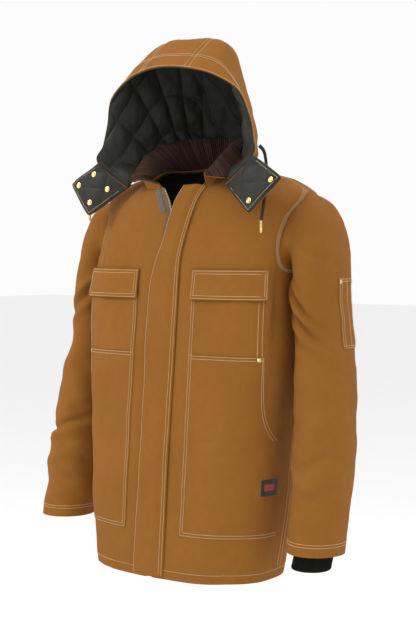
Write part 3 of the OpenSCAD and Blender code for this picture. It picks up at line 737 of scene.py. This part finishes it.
def pocket_stitches(side, tag):
    on_front = lambda x, s, d: torso(side * angle_at(x, s), s, d)
    round_front = lambda a, s, d: torso(side * a, s, d)
    curve_heights = lambda x: POCKET_SEAM - 4 - x * (POCKET_SEAM - OPENING_LOW - 6)
    chest = lambda x: POCKET_SEAM + x * 112
    rows = []
    for i in SEAM_INSETS:
        up = lambda x: POCKET_BOTTOM + i + x * 380
        across = lambda x: POCKET_INNER + i + x * (POCKET_WIDE - i)
        bottom = lambda x: angle_at(POCKET_INNER + i, POCKET_BOTTOM) * (1 - x) + 87 * x
        edge = lambda x: opening_edge(curve_heights(x) + 0.3 * i) - 0.22 * i * (1 + 1.2 * x)
        rows += [line_on(on_front, POCKET_INNER + i, up, 3.4, 260),
                 line_on(on_front, across, POCKET_SEAM - i, 3.4),
                 line_on(on_front, POCKET_INNER + i, chest, 3.4, 200),
                 line_on(on_front, POCKET_OUTER - i, chest, 3.4, 200),
                 line_on(round_front, bottom, POCKET_BOTTOM + i, 3.2, 160),
                 line_on(round_front, edge, curve_heights, 3.2, 260)]
    stitches(f"pocket_stitches_{tag}", rows, "coat")


def flap_stitches(side, tag):
    def on_flap(x, s, d):
        inner, outer = angle_at(POCKET_INNER - 1, s), angle_at(POCKET_OUTER + 1, s)
        u, v = (angle_at(x, s) - inner) / (outer - inner), (s - FLAP_BOTTOM) / FLAP_TALL
        lift = FLAP_LIFT + stand_off(u, v, side) + sewn(u, v, FLAP_THICK)
        return torso(side * angle_at(x, s), s, lift + np.sin(np.pi * u) * np.sin(np.pi * v) + d)
    rows = []
    for i in SEAM_INSETS:
        across = lambda x: POCKET_INNER + i + x * (POCKET_WIDE - 2 * i)
        up = lambda x: FLAP_BOTTOM + i + x * (FLAP_TALL - 2 * i)
        for first, second in ((across, FLAP_BOTTOM + i), (across, FLAP_TOP - i),
                              (POCKET_INNER + i, up), (POCKET_OUTER - 0.38 * i, up)):
            rows.append(line_on(on_flap, first, second, 0.2))
    stitches(f"flap_stitches_{tag}", rows, f"chest_flap_{tag}")


for side, tag in SIDES:
    hand_heights = np.concatenate([
        np.linspace(POCKET_BOTTOM, OPENING_LOW, 46), np.linspace(OPENING_LOW + 0.5, OPENING_TOP, 40),
        np.linspace(OPENING_TOP + 2, POCKET_SEAM, 24)])
    pocket_ply(f"hand_pocket_{tag}_ply", f"hand_pocket_{tag}", "coat", side, hand_heights,
               at_x(POCKET_INNER), opening_edge, 1.8, 0.4, columns=80)
    pocket_ply(f"chest_pocket_{tag}_ply", f"chest_pocket_{tag}", "coat", side,
               np.linspace(POCKET_SEAM + 0.6, 645, 50), at_x(POCKET_INNER), at_x(POCKET_OUTER), 1.8, 0.4)
    pocket_ply(f"chest_flap_{tag}_ply", f"chest_flap_{tag}", f"chest_flap_{tag}", side,
               np.linspace(FLAP_BOTTOM, FLAP_TOP, 26), at_x(POCKET_INNER - 1), at_x(POCKET_OUTER + 1),
               FLAP_THICK, FLAP_LIFT, bulge=1.0, hang=stand_off)
    pocket_stitches(side, tag)
    flap_stitches(side, tag)


# ---------------- front opening
def storm_profile(u):
    """Height of the flap's face above the chest, from its free edge at 0 to its sewn edge at 1."""
    return 3.2 + 6.2 * smooth((1 - u) / 0.42)


def on_storm_flap(share, s, d):
    """The storm flap's cloth, a share of the way from its free edge to its sewn edge."""
    a = angle_at(curve(FLAP_EDGES, 1, s) * (1 - share) + curve(FLAP_EDGES, 2, s) * share, s)
    p = torso0(a, s)
    soft = 0.9 * waves(p, 90, 51) + 0.4 * waves(p, 30, 52)
    return torso(a, s, storm_profile(share) + d + soft)


def storm_flap():
    s, u = grid(np.linspace(4, 826, 240), np.linspace(0, 1, 26))
    s = s - 8.5 * u * smooth((s - 760) / 60)
    edge = 1 - np.abs(2 * u - 1) ** 14
    outer, inner = on_storm_flap(u, s, 2.2 * edge), on_storm_flap(u, s, -2.0)
    obj = sheet_mesh("storm_flap_ply", outer, inner, DUCK, None)
    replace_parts(obj, "storm_flap", "storm_flap_fold", "storm_flap_root")
    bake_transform(obj)
    for name, shares, body in (("flap_fold_stitches", (0.88, 0.965), "coat"),
                               ("flap_edge_stitches", (0.03,), "storm_flap")):
        rows = [line_on(on_storm_flap, share, lambda x: 8 + x * 818, 2.4, 500) for share in shares]
        stitches(name, rows, body)


storm_flap()


def hook_patches():
    """Grip patches on the flap's underside, one over each of the loops on the right front."""
    for number, low in enumerate(GRIP_HEIGHTS):
        s, u = grid(np.linspace(low, low + 46, 14), np.linspace(0, 1, 6))
        from_edge = 4 + 18 * u
        a = angle_at(curve(FLAP_EDGES, 1, s) + from_edge, s)
        lift = storm_profile(from_edge / 74)
        outer, inner = torso(a, s, lift - 1.8), torso(a, s, lift - 3.4)
        obj = sheet_mesh(f"hook_patch_{number}", outer, inner, PILE, "storm_flap")
        if number == 0:
            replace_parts(obj, "hook_patches")


hook_patches()


def boxes(name, centres, frames, sizes, material, body):
    """Small tapered blocks, one at each centre, along each frame's three directions."""
    verts, faces = [], []
    corners = [(x, y, z) for z in (-1, 1) for x, y in ((-1, -1), (1, -1), (1, 1), (-1, 1))]
    for centre, axes in zip(centres, frames):
        start = len(verts)
        for x, y, z in corners:
            shrink = 0.8 if z > 0 else 1.0
            flat = centre + axes[0] * x * shrink * sizes[0] + axes[1] * y * shrink * sizes[1]
            verts.append(flat + axes[2] * z * sizes[2])
        for f in ((3, 2, 1, 0), (4, 5, 6, 7), (0, 1, 5, 4), (1, 2, 6, 5), (2, 3, 7, 6), (3, 0, 4, 7)):
            faces.append(tuple(start + i for i in f))
    return finish_mesh(new_object(name, place(np.array(verts)), faces), material, body, 30)


def zip_side(side, tag):
    """Tape and fine teeth of one half of the zip."""
    edges = ZIP_LEFT if side > 0 else ZIP_RIGHT
    top = 818 if side > 0 else 828
    heights = np.linspace(12, top, 200)
    open_x = curve(edges, 1, heights)
    s, u = grid(heights, np.linspace(0, 1, 4))
    x = open_x[:, None] + side * (2 + 12 * u)
    if side < 0:
        x = x[:, ::-1]
    a = angle_at(x, s)
    obj = sheet_mesh(f"zip_tape_{tag}_ply", torso(a, s, 1.4), torso(a, s, 0.4), TAPE, "coat")
    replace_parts(obj, f"zip_tape_{tag}")
    tall = np.arange(14 + (1.6 if side > 0 else 0), top - 4, 3.2)
    base = np.interp(tall, heights, open_x)
    a = angle_at(base + side * 1.2, tall)
    low, high = torso(a, tall, 0.6), torso(a, tall, 4.2)
    up = unit(high - low)
    way = unit(torso(a, tall + 1, 1.2) - torso(a, tall - 1, 1.2))
    across = np.cross(way, up)
    obj = boxes(f"zip_teeth_{tag}_set", low, list(zip(across, way, up)), (2.2, 0.85, 1.1), BRASS, "coat")
    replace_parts(obj, f"zip_teeth_{tag}")


zip_side(1, "left")
zip_side(-1, "right")


def loop_patches():
    """Grip patches on the right front, the last beside the open top of the zip."""
    top = 776
    for number, low in enumerate((*GRIP_HEIGHTS, top)):
        first, last = (-36, -18) if low == top else (-20, -3)
        s, u = grid(np.linspace(low, low + 48, 14), np.linspace(0, 1, 8))
        a = angle_at(first + (last - first) * u + curve(RIGHT_EDGE, 1, s), s)
        rounded = (1 - np.abs(2 * u - 1) ** 8) * (1 - np.abs(2 * (s - low) / 48 - 1) ** 12)
        outer = torso(a, s, 0.3 + 1.6 * (0.4 + 0.6 * rounded))
        obj = sheet_mesh(f"loop_patch_{number}", outer, torso(a, s, 0.0), PILE, "coat")
        if number == 0:
            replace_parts(obj, "loop_patches")


loop_patches()


# ---------------- sleeves
def arm(side, tag):
    body = f"sleeve_{tag}"
    surface = lambda p, t, d: sleeve(p, t, d, side)
    inside = lambda d: sleeve(p, t, d, side, False)
    t, p = grid(np.concatenate([np.linspace(0, 4, 70), np.linspace(4.03, 11, 150)]), np.arange(0, 360, 3.0))
    obj = sheet_mesh(f"{body}_shell", surface(p, t, 0.0), surface(p, t, -CLOTH), DUCK, None, side, ring=True)
    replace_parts(obj, body)
    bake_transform(obj)
    steps = np.concatenate([np.linspace(0.9, 4, 40), np.linspace(4.1, 10.85, 110)])
    t, p = grid(steps, np.arange(0, 360, 4.0))
    puff = quilting(1.2 * p, sleeve0(p, t)[..., 2], 2.6, 72)
    obj = sheet_mesh(f"{body}_quilt", inside(-2.6), inside(-5.0 - puff), QUILT, body, side, ring=True)
    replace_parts(obj, f"sleeve_lining_{tag}")
    rows = [line_on(surface, lambda x: x * 360, step, 0.4, 240) for step in (10.74, 10.8)]
    stitches(f"{body}_hem_stitches", rows, body, side)

    def by_armhole(p, out, d):
        a, s = armhole(p)
        reach, up = np.sin(np.radians(p)), np.cos(np.radians(p))
        return torso(a - reach * out * 0.42, s + up * out * 0.6, d)
    rows = [line_on(by_armhole, lambda x: 5 + x * 350, out, 0.5, 300) for out in (3, 6.5, 10)]
    stitches(f"armhole_{tag}_stitches", rows, "coat", side)


arm(1, "left")
arm(-1, "right")


def knit_cuff(side, tag):
    profile = np.array([   # step, centre x, y, height, radius
        [0, 345, -10, 122, 48], [1, 344, -14, 100, 44], [2, 340, -18, 72, 42], [3, 334, -20, 44, 41]], float)
    tuck = xyz(0, 3, 36) if side < 0 else 0   # the right cuff is pushed up inside its sleeve
    t, p = grid(np.linspace(0, 3, 50), np.arange(0, 360, 1.5))
    cosine, sine = np.cos(np.radians(p)), np.sin(np.radians(p))
    ribs = 0.9 * np.sin(np.radians(p) * 60) + 1.2 * waves(xyz(40 * cosine, 40 * sine, 30 * t), 60, 61)

    def ring(d):
        x, y, z, r = (curve(profile, c, t) for c in (1, 2, 3, 4))
        return xyz(x + (r + d) * cosine, y - (r + d) * sine, z) + tuck
    outer, inner = ring(ribs - 1.6 * smooth((t - 2.9) / 0.1)), ring(ribs - 2.4)
    obj = sheet_mesh(f"knit_cuff_{tag}_ribs", outer, inner, KNIT, f"sleeve_{tag}", side, ring=True)
    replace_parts(obj, f"knit_cuff_{tag}")


knit_cuff(1, "left")
knit_cuff(-1, "right")


def utility_pocket():
    t, u = grid(np.linspace(4.0, 6.08, 50), np.linspace(0, 1, 30))
    p = -38 + 50 * u
    v = (t - 4) / 2.08
    d = 0.4 + sewn(u, v, 1.6) + 1.2 * np.sin(np.pi * u) * np.sin(np.pi * v)
    obj = sheet_mesh("utility_pocket_ply", sleeve(p, t, d), sleeve(p, t, -0.4), DUCK, "sleeve_left")
    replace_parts(obj, "sleeve_pocket")
    down = lambda x: 4.03 + x * 2.0
    rows = [line_on(sleeve, angle, down, 3.0, 120) for angle in (-36, -31.5, 10, 5.5, -10)]
    rows += [line_on(sleeve, lambda x: -36 + x * 46, step, 3.0, 60) for step in (4.06, 4.14, 6.0, 6.05)]
    stitches("utility_pocket_stitches", rows, "sleeve_left")


utility_pocket()


# ---------------- collar
def collar_plies():
    t, a = grid(np.linspace(0, 1, 34), np.concatenate([np.linspace(32, 80, 60), np.linspace(81, 279, 130),
                                                       np.linspace(280, 346, 70)]))
    shell = sheet_mesh("collar_outer", collar(a, t, 2.2), collar(a, t, 0.1), DUCK, "coat")
    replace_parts(shell, "collar_shell")
    inner = sheet_mesh("collar_inner", collar(a, t, -0.1), collar(a, t, -2.6), CORD, "coat")
    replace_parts(inner, "collar_corduroy")


collar_plies()


# ---------------- hood
def hood_ply(name, node, v0, v1, columns):
    u, v = grid(np.linspace(0, 6, 110), np.linspace(v0, v1, columns))
    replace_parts(sheet_mesh(name, hood(u, v), hood(u, v, -CLOTH), DUCK, "hood"), node)


hood_ply("hood_strip", "hood_centre_panel", -1, 1, 34)
hood_ply("hood_left_panel", "hood_side_left", 1, 7, 110)
hood_ply("hood_right_panel", "hood_side_right", -7, -1, 110)


def hood_quilt():
    u, v = grid(np.linspace(0, 6, 170), np.linspace(-7, 7, 260))
    p = hood0(u, v)
    puff = quilting(56 * v, 62 * u, 9.0, 92) * smooth(u / 0.5)
    creases = (0.6 * waves(p, 34, 71) + 0.25 * waves(p, 16, 72)) * smooth(u / 0.3)
    obj = sheet_mesh("hood_quilt", hood(u, v, -2.5), hood(u, v, -4.6 - puff + creases), QUILT, "hood")
    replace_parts(obj, "hood_lining")


hood_quilt()


def hood_stitches():
    rows = [line_on(hood, lambda x: 0.02 + x * 5.9, v, 0.5, 300) for v in (-1.09, -0.91, 0.91, 1.09)]
    rows += [line_on(hood, u, lambda x: -6.6 + x * 13.2, 0.5, 500) for u in (0.06, 0.62, 0.7)]
    stitches("hood_shell_stitches", rows, "hood")


hood_stitches()


def tab_plies(side, tag):
    v, u = grid(np.linspace(-0.12, 1, 50), np.linspace(0, 1, 44))
    corner = np.clip((np.abs(2 * u - 1) ** 8) * (np.clip(v, 0, 1) ** 8), 0, 1)
    vv, uu = v - 0.03 * corner, 0.5 + (u - 0.5) * (1 - 0.05 * corner)
    puff = quilting(100 * uu, 95 * vv, 2.6, 62)
    edge = (1 - np.abs(2 * u - 1) ** 12) * (1 - np.clip(v, 0, 1) ** 14)
    outer, inner = tab(uu, vv, -0.9 + puff * edge)[::-1], tab(uu, vv, -3.4)[::-1]
    lining = sheet_mesh(f"tab_{tag}_quilt", outer, inner, QUILT, None, side)
    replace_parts(lining, f"tab_lining_{tag}")
    vv = np.where(v < 0.3, 0.3 + (v - 0.3) * 0.62, v) - 0.03 * corner   # the duck starts farther out
    outer, inner = tab(uu, vv, -3.5)[::-1], tab(uu, vv, -5.6)[::-1]
    backing = sheet_mesh(f"tab_{tag}_duck", outer, inner, DUCK, None, side)
    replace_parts(backing, f"hood_tab_{tag}")
    for obj in (lining, backing):
        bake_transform(obj)
    inset = 0.06
    outward = lambda x: 0.15 + x * (0.85 - inset)
    rim = [line_on(tab, lambda x: inset + x * (1 - 2 * inset), 1 - inset, 0.8, 80),
           line_on(tab, inset, outward, 0.8, 80), line_on(tab, 1 - inset, outward, 0.8, 80)]
    stitches(f"tab_{tag}_stitches", rim, f"tab_{tag}", side)


tab_plies(1, "left")
tab_plies(-1, "right")


# ---------------- trim
def tube_faces(rings, around):
    """Faces of a closed tube between rings of points, with a cap at each end."""
    faces = []
    for i in range(rings - 1):
        for k in range(around):
            low, high, on = i * around, (i + 1) * around, (k + 1) % around
            faces.append((low + k, low + on, high + on, high + k))
    return faces + [tuple(range(around))[::-1], tuple((rings - 1) * around + k for k in range(around))]


def lathe(name, profile, centre, normal, material, body, side=1, steps=40):
    """A turned piece standing on a surface: profile is (radius, height) pairs in mm."""
    up = unit(np.asarray(normal, float))
    across = unit(np.cross(up, [0.3, 0.2, 1.0]))
    other = np.cross(up, across)
    verts = []
    for r, h in profile:
        for k in range(steps):
            angle = 2 * math.pi * k / steps
            verts.append(centre + up * h + across * r * math.cos(angle) + other * r * math.sin(angle))
    obj = new_object(name, place(np.array(verts), side), tube_faces(len(profile), steps))
    return finish_mesh(obj, material, body, 35)


def stud(name, profile, surface, a, b, foot, body):
    """A brass piece on a surface, its foot a little above the cloth."""
    low, high = surface(a, b, foot).reshape(3), surface(a, b, 6.0).reshape(3)
    return lathe(name, profile, low, high - low, BRASS, body)


SNAP = [(6.2, 0), (6.4, 0.8), (6.0, 1.5), (5.0, 1.7), (4.4, 1.3),
        (3.4, 1.3), (3.0, 2.1), (2.2, 2.5), (0.9, 2.6), (0.3, 2.5)]
RIVET = [(4.5, 0), (4.5, 0.5), (4.0, 1.2), (2.8, 1.6), (1.8, 1.5), (1.5, 1.9), (0.4, 2.1)]
SNAP_PLACES = {"left": [(0.82, 0.86), (0.2, 0.8)],
               "right": [(0.25, 0.8), (0.8, 0.8), (0.25, 0.3), (0.8, 0.3)]}
for side, tag in SIDES:
    for number, (u, v) in enumerate(SNAP_PLACES[tag]):
        centre = tab(u, v, 0.4).reshape(3)
        snap = lathe(f"tab_{tag}_snap_{number}", SNAP, centre, TAB_NORMAL, BRASS, f"tab_{tag}", side)
        if number == 0:
            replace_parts(snap, f"tab_snaps_{tag}")
    s = POCKET_SEAM - 7
    rivet = stud(f"pocket_rivet_{tag}", RIVET, torso, side * angle_at(POCKET_OUTER - 6, s), s, 3.0, "coat")
    if side > 0:
        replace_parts(rivet, "pocket_rivets")
for number, a in enumerate((84, 132, 180, 228, 268)):
    snap = stud(f"neck_snap_{number}", SNAP, collar, a, 0.22, 2.3, "coat")
    if number == 0:
        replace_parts(snap, "neck_snaps")
for number, p in enumerate((-34, 8)):
    rivet = stud(f"sleeve_rivet_{number}", RIVET, sleeve, p, 4.15, 2.6, "sleeve_left")
    if number == 0:
        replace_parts(rivet, "sleeve_rivets")


def label():
    s, u = grid(np.linspace(186, 220, 16), np.linspace(0, 1, 16))
    a = 70 + 14 * u
    obj = sheet_mesh("side_label", torso(a, s, 4.4), torso(a, s, 2.2), LABEL, "coat")
    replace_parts(obj, "label_patch")
    s, u = grid(np.linspace(197, 210, 8), np.linspace(0, 1, 10))
    a = 72.6 + 8.8 * u
    obj = sheet_mesh("side_label_mark", torso(a, s, 4.9), torso(a, s, 4.2), MARK, "coat")
    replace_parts(obj, "label_mark")


label()


def ribbon(name, route, width, thick, material, body, side):
    """A flat braid along a smooth route, as a closed tube of rounded section."""
    route = np.array(route, float)
    knots = np.arange(len(route))
    fine = np.linspace(0, len(route) - 1, 60)
    table = np.column_stack([knots, route])
    path = xyz(*(curve(table, c, fine) for c in (1, 2, 3)))
    way = unit(np.gradient(path, axis=0))
    flat = unit(np.cross(way, [0, 1.0, 0]))
    thin = np.cross(flat, way)
    angle = np.linspace(0, 2 * np.pi, 16, endpoint=False)
    ring = path[:, None] + width / 2 * np.cos(angle)[None, :, None] * flat[:, None] \
        + thick / 2 * np.sin(angle)[None, :, None] * thin[:, None]
    obj = new_object(name, place(ring.reshape(-1, 3), side), tube_faces(*ring.shape[:2]))
    finish_mesh(obj, material, body)
    total = float(np.linalg.norm(np.diff(path, axis=0), axis=1).sum()) * MM
    return obj, place(path, side), total


AGLET = [(2.4, 0.0), (3.0, 1.0), (3.0, 8.0), (2.7, 8.6), (3.0, 9.2), (3.0, 23), (3.2, 24.0), (3.2, 25.0)]
for side, tag in SIDES:
    lace, path, total = ribbon(f"lace_{tag}_braid", LACES[tag], 8.0, 1.6, LACE_CLOTH, "hood", side)
    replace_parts(lace, f"lace_{tag}")
    foot = np.array(LACES[tag][-1]) - [0, 0, 25.5]
    tip = lathe(f"aglet_{tag}_tip", AGLET, foot, [0, 0, 1], BRASS, "hood", side)
    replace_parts(tip, f"aglet_{tag}")


def hem_and_seams():
    rows = [line_on(torso, lambda x: 2 + x * 356, 18.5, 0.5, 900)]
    rows += [line_on(torso, a, lambda x: 22 + x * 625, 0.5, 300) for a in (91.5, 94, 268.5, 266)]
    stitches("hem_and_side_stitches", rows, "coat")
    up = lambda x: SHOULDER + 2 + x * (NECK - SHOULDER - 6)
    rows = [line_on(torso, a, up, 0.5, 120) for a in (87, 84, 273, 276)]
    stitches("shoulder_stitches", rows, "coat")


hem_and_seams()


# ---------------- CAD pieces that stay
def repaint(names, material):
    for name in names:
        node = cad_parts[name]
        node.data.materials.clear()
        node.data.materials.append(material)


repaint(["zip_top_stops", "zip_box", "zip_slider", "zip_pull", "hood_eyelets"], BRASS)
repaint(["hanger_loop"], LACE_CLOTH)
